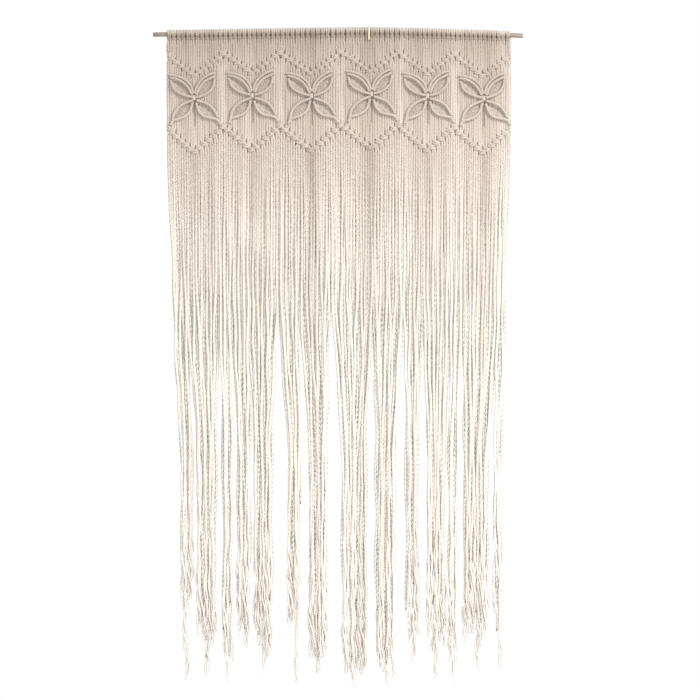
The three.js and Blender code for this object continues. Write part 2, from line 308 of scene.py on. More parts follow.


# %% [markdown]
# A lark's head is a folded cord. The fold lies in front, low on the rod. Both legs go
# back under the rod, up behind it, over the top and down the front, and then they slip
# behind the fold. So each knot shows two upright wraps over one short bar. Two half rings
# on the front would show the same there, but from above and behind one sees the cord go
# round, so it truly does.

# %% Half a lark's head
# The tone column paints light on the wraps over the top of the rod and shade on the fold and the
# legs below it. The tail's tones paint shade under the rod.
LARKS_HEAD = [
    # (degrees round the rod from its front, distance from its axis, aside, radius, tone)
    (-63, 16.2, 0.0, 2.3, -5.5), (-63, 15.9, 2.4, 2.3, -5.5), (-67, 13.6, 4.4, 2.4, -5.5),
    (-86, 10.4, 5.0, 2.4, -5.5), (-130, 9.0, 4.8, 2.6, -3.0), (-180, 9.0, 4.4, 2.8, 0.0),
    (-230, 9.0, 3.6, 3.3, 3.0), (-270, 8.8, 3.2, 3.8, 4.0), (-315, 8.9, 3.15, 3.95, 4.0),
    (-345, 9.1, 2.95, 3.5, 1.0), (-375, 9.6, 2.4, 2.8, -3.0), (-400, 10.2, 2.2, 2.6, -6.5),
]
LARKS_TAIL = [
    # (aside, deep, height over the axis, radius, tone)
    (2.6, -6.4, -14.0, 2.7, -5.0), (2.9, -5.4, -19.0, 3.1, -1.5), (3.1, -5.0, -25.0, 3.5, -1.5),
]
HEAD_STRAY, LOOP_ROOM, LOOP_REACH = 1.8, 1.8, 12


def larks_half(x, side):
    """Half a lark's head. The wraps beside the hanging loop make room for it."""
    axis = rod_axis(x)
    x += HEAD_STRAY * (uneven(x * 0.37) - 0.5)
    room = math.copysign(LOOP_ROOM * math.exp(-abs(x) / LOOP_REACH), x)
    places = []
    for degrees, reach, aside, radius, tone in LARKS_HEAD:
        a = math.radians(degrees)
        y, z = -reach * math.cos(a), axis + reach * math.sin(a)
        places.append((x + room + side * aside, y, z, radius, tone))
    for aside, y, z, radius, tone in LARKS_TAIL:
        places.append((x + side * aside, y, axis + z, radius, tone))
    return places


print("half a lark's head:", len(larks_half(0, 1)), "places")

# %% [markdown]
# Both zigzags are rows of square knots that share their cords, each knot half a step
# lower than its outer neighbour. In a square knot two cords hang still, and the cords
# on either side of them cross in front and behind, once in each direction. One knot
# could be modelled by itself and copied, but then the cords would stop at its edges. As
# a way that each cord takes, it joins smoothly to what hangs above and below.

# %% A square knot's three kinds of path
FILLER = [(2.4, 0, 3.4), (1.9, 0, 0), (2.4, 0, -3.4)]
# A knot's lift is added to its cords' tone. The lower knots are painted a little darker, and
# CORNER_LIFT paints the lowest knot of each lower zigzag darker still. This is painted shade.
UPPER_KNOT = dict(wide=1.12, deep=0.4, tall=1.05, radius=3.8, lift=0.0)
LOWER_KNOT = dict(wide=1.15, deep=0.7, tall=1.25, radius=4.0, lift=-0.8)
CORNER_LIFT = -3.5
OVER = [
    (-5.8, 0, 3.9), (-4.7, -2.6, 2.9), (-1.6, -4.3, 2.3), (1.9, -4.3, 1.9), (4.9, -2.0, 1.1),
    (5.6, 0.2, 0), (4.9, -2.0, -1.1), (1.9, -4.3, -1.9), (-1.6, -4.3, -2.3),
    (-4.7, -2.6, -2.9), (-5.8, 0, -3.9),
]
UNDER = [
    (5.8, 0, 3.9), (6.5, -3.0, 2.4), (5.6, -0.4, 1.2), (3.5, 3.0, 0.8), (0, 4.0, 1.1),
    (-3.5, 3.0, 1.6), (-6.1, 0, 2.0), (-7.0, -2.4, 0.9), (-7.0, -2.4, -0.9), (-6.1, 0, -2.0),
    (-3.5, 3.0, -1.6), (0, 4.0, -1.1), (3.5, 3.0, -0.8), (5.6, -0.4, -1.2), (6.5, -3.0, -2.4),
    (5.8, 0, -3.9),
]


def knot_places(x, z, role, knot, lean=0.0):
    """A cord's way through a square knot: role is how it stands, from -2 to 2."""
    if role in (-1, 1):
        way = [(role * dx, dy, dz) for dx, dy, dz in FILLER]
    else:
        way = OVER if role == -2 else UNDER
    return [
        (
            x + dx * knot["wide"],
            CORD_PLANE + dy * knot["deep"],
            z + dz * knot["tall"] + lean * dx,
            knot["radius"],
            knot["lift"],
        )
        for dx, dy, dz in way
    ]


def edge_places(x, z, side, knot):
    """At the curtain's own edge the outer cord only circles its neighbour."""
    places = knot_places(x, z, -2 if side < 0 else 2, knot)
    return [(x - side * 2 + (px - x) * 0.5, y, *rest) for px, y, *rest in places]


print("places in a knot:", len(OVER), "over,", len(UNDER), "under,", len(FILLER), "between")

# %% [markdown]
# Each panel carries a flower of four leaves in front of its cords. The edges of the leaves are
# ridges, and a few listed places give each its sweep. They are measured from the middle of the
# flower, and the upper leaves have a double row on top. They come before the cords, because the
# cords behind a leaf have to make room for it.

# %% Outline of the flower
RIDGES = [
    [(-1, 11), (-9, 33), (-25, 49), (-46, 58), (-68, 62)],
    [(-5, 7), (-14, 25), (-29, 41), (-46, 50), (-64, 54)],
    [(-4, 1), (-24, 6), (-42, 14), (-56, 27), (-62, 46)],
    [(2, 11), (9, 33), (23, 50), (39, 61), (56, 67)],
    [(7, 7), (14, 26), (27, 42), (41, 51), (55, 57)],
    [(6, 1), (27, 7), (44, 19), (53, 33), (56, 50)],
    [(-2, -7), (-25, -15), (-43, -28), (-54, -44), (-57, -60), (-62, -73)],
    [(-4, -14), (-10, -35), (-22, -49), (-39, -57), (-56, -61)],
    [(7, -7), (25, -12), (43, -21), (56, -36), (64, -52)],
    [(6, -15), (14, -37), (28, -50), (47, -55), (63, -59), (72, -71)],
]
LEAVES = [(1, 2), (4, 5), (6, 7), (8, 9)]
print("flower:", len(RIDGES), "ridges round", len(LEAVES), "leaves")

# %% [markdown]
# A pair of cords meets two knots in each zigzag: first the higher one, then the lower one. Between
# the zigzags the cords hang slack, deeper behind the leaves, and parted in a short slit below each
# flower. Their colour is painted paler between two flowers, which is painted light, and darker in
# the slit and near the heading, which is painted shade. A simulation could hang them, but the
# knots would have to hold it, and a few small waves give the same slack.

# %% From the rod to the foot of the lower zigzag
def knot_place(number, boundary, row):
    """Where a panel's knot lies. The knots at its edges join it to the next panel."""
    panel = PANELS[number]
    x = panel["left"] + (panel["right"] - panel["left"]) * boundary / PAIRS
    z = row_height(panel, row, x)
    if boundary == 0 and number > 0:
        z = (z + row_height(PANELS[number - 1], row, x)) / 2
    if boundary == PAIRS and number < len(PANELS) - 1:
        z = (z + row_height(PANELS[number + 1], row, x)) / 2
    return x, z


def zigzag_places(number, pair, side, row, knot):
    """A cord's way through its two knots of one zigzag."""
    first, second = (pair, pair + 1) if pair < PAIRS / 2 else (pair + 1, pair)
    places = []
    for boundary in (first, second):
        x, z = knot_place(number, boundary, row)
        is_right_pair = boundary == pair
        is_outer_edge = (number, boundary) in ((0, 0), (len(PANELS) - 1, PAIRS))
        if is_outer_edge:
            if side == (-1 if boundary == 0 else 1):
                places += edge_places(x + (3.4 if boundary == 0 else -3.4), z, side, knot)
            continue
        if is_right_pair:
            role = 1 if side < 0 else 2
        else:
            role = -2 if side < 0 else -1
        lean = 0.3 * (uneven(40 * number + 3 * boundary + row["end"]) - 0.5)
        # The lowest knot of the lower zigzag is painted darker, which is painted shade.
        is_corner = row is LOWER_V and boundary == PAIRS // 2
        tied = dict(knot, lift=CORNER_LIFT) if is_corner else knot
        places += knot_places(x, z, role, tied, lean)
    return places


HANG_RADIUS = 4.5
LEAF_DEPTH = 4.2
SLIT_WIDTH, SLIT_LENGTH, SLIT_PARTS, SLIT_DEPTH = 4.5, 75, 2.2, 3
PALE_WIDTH, PALE_FROM, PALE_TO = 9, -70, 85
HEADING_FROM, HEADING_TO = -85, -60


def home_x(panel, pair, side):
    pitch = (panel["right"] - panel["left"]) / PAIRS
    return panel["left"] + pitch * (pair + 0.5 + side / 4)


def slack(cord, step):
    """How far a hanging cord strays from its place, in and out of the row."""
    aside = 0.7 * np.sin(2.1 * cord + 0.9 * step) + 0.5 * np.sin(5.3 * cord + 0.4 * step)
    deep = 0.6 * np.sin(1.31 * cord + 0.5 * step) + 0.4 * math.sin(3.7 * cord + 2)
    return aside, deep


def leaf_share(x, z):
    """How far inside a leaf a place lies, from 0 outside to 1."""
    share = 0
    for edges in LEAVES:
        upper, lower = (np.array(sorted(RIDGES[k])).T for k in edges)
        if max(upper[0, 0], lower[0, 0]) < x < min(upper[0, -1], lower[0, -1]):
            room = min(np.interp(x, *upper) - z, z - np.interp(x, *lower))
            share = max(share, float(ease(room, 0, 6)))
    return share


def hang_between(panel, x, heights, cord):
    """Places between two knots, where a cord is slack and a little full. Its tone is painted
    lighter beside a panel's edge and darker in the slit and near the heading: painted light and
    painted shade.
    """
    places = []
    for z in heights:
        aside, deep = slack(cord, z / 20)
        right, above = x - panel["x"], z - panel["z"]
        deep += LEAF_DEPTH * leaf_share(right, above)
        parted = math.exp(-((right / SLIT_WIDTH) ** 2)) * (0 < -above < SLIT_LENGTH)
        aside += SLIT_PARTS * parted * math.copysign(1, right)
        edge = min(x - panel["left"], panel["right"] - x)
        beside = math.exp(-((edge / PALE_WIDTH) ** 2)) * (PALE_FROM < above < PALE_TO)
        in_heading = float(ease(z, HEADING_FROM, HEADING_TO))
        # Painted light beside a panel's edges; painted shade in the slit and near the heading.
        tone = 3.0 * beside - 2.0 * parted - 1.5 * in_heading
        y = CORD_PLANE + 0.8 + deep + SLIT_DEPTH * parted
        places.append((x + 0.6 * aside, y, z, HANG_RADIUS, tone))
    return places


def knotted_places(number, pair, side):
    panel = PANELS[number]
    pitch = (panel["right"] - panel["left"]) / PAIRS
    cord = 2 * (PAIRS * number + pair) + (side > 0)
    places = larks_half(panel["left"] + pitch * (pair + 0.5), side)
    upper = zigzag_places(number, pair, side, UPPER_V, UPPER_KNOT)
    lower = zigzag_places(number, pair, side, LOWER_V, LOWER_KNOT)
    x = home_x(panel, pair, side)
    top, bottom = places[-1][2], upper[0][2] + 6
    heights = np.linspace(top, bottom, 4)[1:]
    places += hang_between(panel, x, heights, cord)
    places += upper
    top, bottom = upper[-1][2] - 6, lower[0][2] + 6
    places += hang_between(panel, x, np.linspace(top, bottom, 24), cord)
    return places + lower


print("a knotted cord:", len(knotted_places(0, 0, 1)), "places")

# %% [markdown]
# Below the knots the cords hang straight for a while, wander a little, and then drift
# into bundles with clear gaps. A few slow waves that neighbours share make loose bands,
# as in a real fringe, and small quick ones near the foot show where the yarn was
# unwound. Blender's hair could grow a fringe, but each cord here has to end at the foot
# of its own solid, and a formula takes it there.

# %% The hanging part of a cord
rng = np.random.default_rng(7)
FRINGE_RADIUS, FLUFF, LOWEST = 3.75, 24.0, -1785.0
NARROWED, NARROWED_REACH, NARROWS_FROM, NARROWS_TO = 16, 45, 250, 780
FREE_FROM, FREE_TO, LOOSE_FROM, LOOSE_TO = 10, 200, 520, 900
UNWOUND_FROM, UNWOUND_TO = 1000, 1500
CLUMP, CLUMP_PULL = 19, 0.45


def drawn_in(root, z, gathered):
    """The fringe narrows a little at its sides before it parts into bundles."""
    from_edge = min(root - PANELS[0]["left"], PANELS[-1]["right"] - root)
    inward = math.copysign(NARROWED * math.exp(-from_edge / NARROWED_REACH), -root)
    return inward * ease(-z, NARROWS_FROM, NARROWS_TO) * (1 - gathered) ** 2


def fringe_places(number, pair, side, start, cord):
    """Places from the lower zigzag to the foot. The loosened yarn ends a little lower than its
    solid. Cords are painted darker under the lowest knot of their panel, a painted shade that
    fades down the fringe."""
    foot_x, foot_z = FEET[cord]
    foot_z = max(foot_z - FLUFF, LOWEST)
    z = np.concatenate([[start[2] - 6], np.arange(start[2] - 20, foot_z, -17.0)])
    z[-1] = foot_z
    root = home_x(PANELS[number], pair, side)
    fallen = start[2] - z
    free, loose = ease(fallen, FREE_FROM, FREE_TO), ease(-z, LOOSE_FROM, LOOSE_TO)
    gathered = ease(-z, -GATHER_TOP, -GATHER_END)
    unwound = ease(-z, UNWOUND_FROM, UNWOUND_TO)
    phase = rng.uniform(0, 2 * math.pi, 6)
    clump = foot_x - CLUMP * (round(foot_x / CLUMP + 0.3) - 0.3)
    x = root + (foot_x - root - CLUMP_PULL * clump) * gathered + drawn_in(root, z, gathered)
    held = 1.5 * (1 - 0.35 * gathered)
    x += free * 1.9 * wave(cord / 5.3 + z / 1100)
    x += (0.4 * free + loose) * held * wave(cord / 3.1 - z / 700, 1.3)
    x += (0.35 * free + loose) * held * wave(z / rng.uniform(180, 380), phase[0])
    x += unwound * 1.2 * wave(z / rng.uniform(60, 110), phase[1])
    layer = -1 if cord % 2 == 0 else 1
    y = CORD_PLANE + layer * (0.8 * free + 2.2 * loose)
    y += free * 1.6 * wave(cord / 6.1 - z / 1400, 2)
    y += free * wave(z / rng.uniform(200, 420), phase[2])
    y += unwound * 1.5 * wave(z / rng.uniform(70, 120), phase[3])
    # Painted shade under the lowest knot, fading as the cord falls.
    under = math.exp(-(((root - PANELS[number]["x"]) / 10) ** 2))
    tone = -3.5 * under * (1 - ease(fallen, 60, 330))
    return list(zip(x, y, z, FRINGE_RADIUS + 0.3 * loose, tone))


print("fringe gathers from", GATHER_TOP, "to", GATHER_END, "mm")

# %% [markdown]
# The foot of each cord is unwound into its plies, which spread, curl and end at
# different heights. They start a few rings up inside the cord, whose end thins out
# between them, so the twist seems to open. Single fibres would be truer still, but they
# would take more faces than all the rest.

# %% Unwound plies
PLIES, MERGED = 3, 4


def unwound_plies(tail, tone):
    """Three plies that go on where the twisted cord stops."""
    if len(tail) < 4:
        return []
    gone = np.concatenate([[0], np.cumsum(np.linalg.norm(np.diff(tail, axis=0), axis=1))])
    plies = []
    for k in range(PLIES):
        stop = max(4, round(len(tail) * rng.uniform(0.86, 1.0)))
        s, mid = gone[:stop], tail[:stop].copy()
        turn = 2 * math.pi * (k / PLIES + s / rng.uniform(110, 200)) + tone
        spread = 0.9 + rng.uniform(1.6, 6.0) * ease(s, 0, 110)
        curl = rng.uniform(0.3, 1.5) * ease(s, 15, 80)
        swing = 2 * math.pi * s / rng.uniform(40, 80) + rng.uniform(0, 6)
        mid[:, 0] += spread * np.cos(turn) + curl * np.sin(swing)
        mid[:, 1] += spread * np.sin(turn) * 0.7 + curl * np.cos(swing)
        radii = 2.4 + 0.4 * ease(s, 0, 25) - 1.6 * ease(s, s[-1] - 60, s[-1])
        plies.append((mid, radii, PLY_SIDES, 0.0, tone + rng.uniform(-0.5, 0.5)))
    return plies


print("plies at the feet:", PLIES * len(FEET))

# %% [markdown]
# Each leaf of the flower is edged by cords that are knotted round a carrier, so close
# that the edge reads as a smooth ridge of slanting wraps. A plain tube with a bump would
# lose them at its outline. A coil drawn out along the edge gives the same wraps at the
# same pitch, and short cords from edge to edge fill the leaf.

# %% Ridges of the flower
WRAP_PITCH, WRAP_ACROSS, WRAP_DEEP, WRAP_RADIUS, RIDGE_PLANE = 3.4, 1.9, 2.6, 2.4, -10.8
FILL_PITCH, FILL_PLANE, FILL_RISE, FILL_RADIUS, LEAF_LENGTH = 3.7, -1.6, 6.0, 2.3, 80
HEART_HALF, HEART_TURNS, HEART_ACROSS, HEART_RADIUS = 5.5, 4, 3.4, 2.2
COIL_STEPS = 9


def coil_round(centre_line, turns, across):
    """A coil round a line in the curtain's plane."""
    line = np.asarray(centre_line, float)
    length = np.linalg.norm(np.diff(line, axis=0), axis=1)
    gone = np.concatenate([[0], np.cumsum(length)])
    s = np.linspace(0, gone[-1], turns * COIL_STEPS + 1)
    mid = np.stack([np.interp(s, gone, axis) for axis in line.T], 1)
    along = np.gradient(mid, axis=0)
    along /= np.linalg.norm(along, axis=1, keepdims=True)
    aside = np.stack([-along[:, 2], np.zeros(len(s)), along[:, 0]], 1)
    turn = 2 * math.pi * np.arange(len(s)) / COIL_STEPS
    run = mid + aside * (across * np.cos(turn))[:, None]
    run[:, 1] += WRAP_DEEP * np.sin(turn)
    return run


def ridge_line(panel, corners):
    """The middle of a ridge, which sinks towards the cords at its tip."""
    run = smooth_run([(x, z, 0) for x, z in corners], lambda part: np.full(len(part), 2.0))
    deep = RIDGE_PLANE + 2.2 * ease(np.linspace(0, 1, len(run)), 0.82, 1.0)
    return np.stack([panel["x"] + run[:, 0], deep, panel["z"] + run[:, 1]], 1)


def place_on(line, share):
    """The place on a line at a share of its points."""
    return np.array([np.interp(share * (len(line) - 1), range(len(line)), v) for v in line.T])


def leaf_filling(upper, lower, number, tone):
    """Short cords between the two edges of a leaf, of slightly different tones."""
    strands = []
    for k, place in enumerate(np.arange(0.17, 0.93, FILL_PITCH / LEAF_LENGTH)):
        start, end = place_on(upper, place), place_on(lower, place)
        share = np.linspace(0, 1, 9)
        mottled = 3.0 * (uneven(17 * number + k) - 0.5)
        run = start + (end - start) * share[:, None]
        run[:, 1] = FILL_PLANE - FILL_RISE * share - 0.25 * mottled
        strands.append((run, FILL_RADIUS, COTTON_SIDES, LOBE, tone + 0.4 + mottled))
    return strands


def flower_strands(panel, tone):
    lines = [ridge_line(panel, corners) for corners in RIDGES]
    strands = []
    for line in lines:
        reach = np.linalg.norm(np.diff(line, axis=0), axis=1).sum()
        run = coil_round(line, round(reach / WRAP_PITCH), WRAP_ACROSS)
        # The ridges are painted a little lighter than the leaves: painted light on the raised
        # edges.
        strands.append((run, WRAP_RADIUS, COTTON_SIDES, LOBE, tone + 0.6))
    for upper, lower in LEAVES:
        strands += leaf_filling(lines[upper], lines[lower], upper, tone)
    heart = np.stack([np.full(20, v) for v in (panel["x"], RIDGE_PLANE - 0.8, panel["z"])], 1)
    heart[:, 2] += np.linspace(HEART_HALF, -HEART_HALF, 20)
    coil = coil_round(heart, HEART_TURNS, HEART_ACROSS)
    # The heart is painted lighter still, a painted highlight on the raised knot.
    strands.append((coil, HEART_RADIUS, COTTON_SIDES, LOBE, tone + 2))
    return strands


print("a flower:", len(flower_strands(PANELS[0], 0)), "strands")

# %% [markdown]
# Behind the front cords each lark's head has a second pair, from the same doubled cord,
# which lies in the gaps between them. It closes the cloth, as the photograph shows no
# daylight between the cords until well down the fringe. There this pair falls into the
# same bundles, and its cords end one after another. A sheet would close the cloth with
# fewer faces, but it would look like a wall from behind.

# %% The cords behind
BACK_PLANE, BACK_RADIUS, BACK_SIDES, BACK_STEP = 0.0, 5.0, 5, 14.0
BACK_TOP, BACK_ASIDE, BACK_PLACES = 4.5, 1.6, 24.0


def backing_strands(number):
    """They start behind the rod, press forward at the zigzags and thin out at the foot."""
    panel, strands = PANELS[number], []
    pitch = (panel["right"] - panel["left"]) / PAIRS
    for i in range(2 * PAIRS):
        cord = 2 * PAIRS * number + i
        root = panel["left"] + pitch * (i + 1) / 2 - BACK_ASIDE
        foot_x = FEET[cord][0] + rng.uniform(-4, 4)
        foot_z = FEET[cord][1] + rng.uniform(15, 260)
        z = np.arange(rod_axis(root) - BACK_TOP, foot_z, -BACK_PLACES)
        loose, gathered = ease(-z, 420, 900), ease(-z, -GATHER_TOP, -GATHER_END)
        aside, deep = slack(500 + i, z / 45)
        x = root + (foot_x - root) * gathered + (0.3 + 0.5 * loose) * aside
        x += drawn_in(root, z, gathered)
        x += loose * 2.4 * wave(z / rng.uniform(190, 420), rng.uniform(0, 6))
        knots = [row_height(panel, row, root) for row in (UPPER_V, LOWER_V)]
        drawn = sum(np.exp(-(((z - knot) / 11) ** 2)) for knot in knots)
        leaf = [leaf_share(root - panel["x"], height - panel["z"]) for height in z]
        hanging = ease(-z, 330, 420)
        y = BACK_PLANE + 0.5 * deep + LEAF_DEPTH * np.array(leaf)
        y -= 2.2 * hanging + 1.8 * loose + 2.8 * drawn * (1 - 0.6 * hanging)
        y += loose * 2.0 * wave(z / rng.uniform(210, 400), rng.uniform(0, 6))
        radius = BACK_RADIUS - 1.7 * ease(-z, 420, 700) + 0.7 * gathered
        radius -= 1.6 * ease(-z, -foot_z - 120, -foot_z)
        run = smooth_run(list(zip(x, y, z, radius)), lambda run: np.full(len(run), BACK_STEP))
        strands.append((run[:, :3], run[:, 3], BACK_SIDES, LOBE, rng.uniform(-1, 0.5)))
    return strands


print("cords behind:", 2 * PAIRS * len(PANELS))

# %% [markdown]
# All the cords of a panel, its ridges and the unwound ends become one object, which
# stands for the panel's solid. An object for each cord would be easier to pick out, but
# hundreds of them slow every step that follows.

# %% Spin the six panels
THIN_END = 0.35


def panel_strands(number):
    """Each lark's head is one run from foot to foot, and its two ends are unwound. A few
    slow waves of tone make broad light and dark stripes across the curtain."""
    panel = PANELS[number]
    strands = []
    for pair in range(PAIRS):
        halves = []
        for side in (-1, 1):
            cord = 2 * PAIRS * number + 2 * pair + (side > 0)
            places = knotted_places(number, pair, side)
            places += fringe_places(number, pair, side, places[-1], cord)
            halves.append(np.array(places))
        tone = rng.uniform(-1.0, 1.0)
        tone += 0.8 * math.sin(cord / 3.7 + 0.8) + 0.8 * math.sin(cord / 1.7)
        whole = np.vstack([halves[0][::-1], halves[1][1:]])
        run = smooth_run(whole, cord_step)
        lengths = [rng.uniform(60, 250) for _ in halves]
        top = run[:, 2].argmax()
        feet = (run[0, 2] + lengths[0], run[-1, 2] + lengths[1])
        left = int(np.argmax(run[:top, 2] > feet[0]))
        right = top + int(np.argmax(run[top:, 2] < feet[1]))
        kept = run[left:right]
        from_end = np.minimum(np.arange(len(kept)), np.arange(len(kept))[::-1])
        radii = kept[:, 3] * (THIN_END + (1 - THIN_END) * ease(from_end, 0, MERGED))
        strands.append((kept[:, :3], radii, COTTON_SIDES, LOBE, tone + kept[:, 4]))
        strands += unwound_plies(run[: left + MERGED, :3][::-1], tone)
        strands += unwound_plies(run[right - MERGED :, :3], tone)
    return strands + flower_strands(panel, 0.5) + backing_strands(number)


panels = []
for number in range(len(PANELS)):
    piece = spin_yarn(f"macrame_panel_{number + 1}", panel_strands(number))
    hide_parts(f"panel_{number + 1}")
    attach(piece, "root")
    panels.append(piece)

# %% [markdown]
# The loop is a short paler cord that lies round the rod and is drawn up to its hold. Its
# tied end hangs down in front, between two lark's heads. A torus could be pulled into
# this shape, but a run of places takes the same twist as the other cords.

# %% The hanging loop
LOOP_INNER, LOOP_MIDDLE, LOOP_BULGE = 6.6, 8.5, 1.8
LOOP_RADIUS, LOOP_END_RADIUS, LOOP_PLACES = 1.8, 2.6, 24
LOOP_END = [
    (0, -10.2, -6), (0.3, -11.4, -12), (0, -11.6, -20), (-0.3, -11.3, -29), (0, -10.8, -37),
]


def loop_step(run):
    return np.full(len(run), 1.6)


def loop_places():
    """A ring round the rod, drawn up to its hold, that bulges over the front wraps."""
    places = []
    for k in range(LOOP_PLACES):
        a = 2 * math.pi * k / LOOP_PLACES
        y = -(LOOP_MIDDLE + LOOP_BULGE * max(0, math.sin(a))) * math.sin(a)
        z = -LOOP_MIDDLE * math.cos(a) + (ROD_BELOW_HOLD - LOOP_INNER) * max(0, -math.cos(a))
        places.append((0, y, z - ROD_BELOW_HOLD))
    return places + places[:3]


loop = spin_yarn(
    "hanging_loop_cord",
    [
        (smooth_run(loop_places(), loop_step), LOOP_RADIUS, COTTON_SIDES, LOBE, 0.0),
        (smooth_run(LOOP_END, loop_step), LOOP_END_RADIUS, COTTON_SIDES, LOBE, 0.0),
    ],
)
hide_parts("hanging_loop")
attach(loop, "root")


# %% [markdown]
# The dowel is turned round and smooth, with a slightly eased edge at each bare end.
# Blender's cylinder is straight and has no rings to bend it at, so rings are laid along
# the rod's own curve and joined.

# %% The wooden rod
EASED = 0.8


def make_rod(sides=32, steps=60):
    x = np.linspace(ROD_LEFT, ROD_RIGHT, steps + 1)
    x = np.concatenate([[x[0]], [x[0] + EASED], x[1:-1], [x[-1] - EASED], [x[-1]]])
    radii = np.full(len(x), ROD_RADIUS)
    radii[[0, -1]] = ROD_RADIUS - EASED
    turn = 2 * math.pi * np.arange(sides) / sides
    axis = np.array([rod_axis(v) for v in x])
    y = radii[:, None] * np.cos(turn)
    z = axis[:, None] + radii[:, None] * np.sin(turn)
    rings = np.stack([np.broadcast_to(x[:, None], y.shape), y, z], -1).reshape(-1, 3)
    k, j = np.meshgrid(np.arange(len(x) - 1), np.arange(sides), indexing="ij")
    a, b = k * sides + j, k * sides + (j + 1) % sides
    faces = np.stack([a, b, b + sides, a + sides], -1).reshape(-1, 4).tolist()
    faces.append(list(range(sides))[::-1])
    faces.append(list(range(len(rings) - sides, len(rings))))
    mesh = bpy.data.meshes.new("dowel")
    mesh.from_pydata((rings * MM).tolist(), [], faces)
    mesh.polygons.foreach_set("use_smooth", [True] * (len(faces) - 2) + [False] * 2)
    mesh.update()
    piece = bpy.data.objects.new("dowel", mesh)
    bpy.context.scene.collection.objects.link(piece)
    return piece


rod = make_rod()
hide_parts("rod")
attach(rod, "root")
print("rod:", len(rod.data.polygons), "faces")

# %% [markdown]
# Materials are written as small sums. Each node could be made and linked on lines of its
# own, but that hides what is reckoned. This class holds one socket of a node tree and
# turns Python's own signs into Math nodes, so that 1 - mask reads as it is meant.

# %% A socket that can be reckoned with
class Value:
    def __init__(self, tree, socket):
        self.tree, self.socket = tree, socket

    def node(self, kind, settings=None, sockets=None, out=0):
        """Adds any node, sets it up, joins its sockets and returns one output."""
        made = self.tree.nodes.new(kind)
        for name, value in (settings or {}).items():
            if name == "stops":
                ramp = made.color_ramp.elements
                while len(ramp) < len(value):
                    ramp.new(0.5)
                for element, (place, colour) in zip(ramp, value):
                    element.position, element.color = place, (*colour, 1)
            else:
                setattr(made, name, value)
        for name, value in (sockets or {}).items():
            if isinstance(value, Value):
                self.tree.links.new(value.socket, made.inputs[name])
            else:
                made.inputs[name].default_value = value
        return Value(self.tree, made.outputs[out])

    def math(self, operation, a, b=0.0):
        return self.node("ShaderNodeMath", {"operation": operation}, {0: a, 1: b})

    def __add__(self, other):
        return self.math("ADD", self, other)

    def __mul__(self, other):
        return self.math("MULTIPLY", self, other)

    def __sub__(self, other):
        return self.math("SUBTRACT", self, other)

    def __rsub__(self, other):
        return self.math("SUBTRACT", other, self)

    __radd__ = __add__
    __rmul__ = __mul__

    def ranged(self, low, high):
        """0 to 1 where this goes from low to high."""
        return self.node(
            "ShaderNodeMapRange", sockets={"Value": self, "From Min": low, "From Max": high}
        )

    def noise(self, scale, detail, distortion=0.0):
        """Noise at the place that this socket gives."""
        return self.node(
            "ShaderNodeTexNoise",
            sockets={
                "Vector": self, "Scale": scale, "Detail": detail, "Distortion": distortion,
            },
        )


def start_material(name):
    material = bpy.data.materials.new(name)
    material.use_nodes = True
    tree = material.node_tree
    shader = next(node for node in tree.nodes if node.type == "BSDF_PRINCIPLED")
    return material, Value(tree, None), shader


def colour_mix(value, share, a, b, blend="MIX"):
    """A colour from a to b, or both multiplied."""
    settings = {"data_type": "RGBA", "blend_type": blend}
    return value.node("ShaderNodeMix", settings, {0: share, 6: a, 7: b}, out=2)


# %% [markdown]
# Unbleached cotton is cream, and each cord differs slightly from the next. Its colour is painted
# darker and warmer in the grooves between the plies, which is painted shade. It also runs from
# darker at the rod, over the dense knots, to lighter at the foot: painted shade above and painted
# light below. It has short fuzz, which the sheen gives, and fine yarns, which the bump gives.
# Noise alone would look like plaster, so the grooves and the yarns follow the cord's own map, and
# each point's tone comes with the mesh. Besides a random tone for each cord, that tone carries
# painted light and shade in places.

# %% Cotton cord
DROP = 1.8


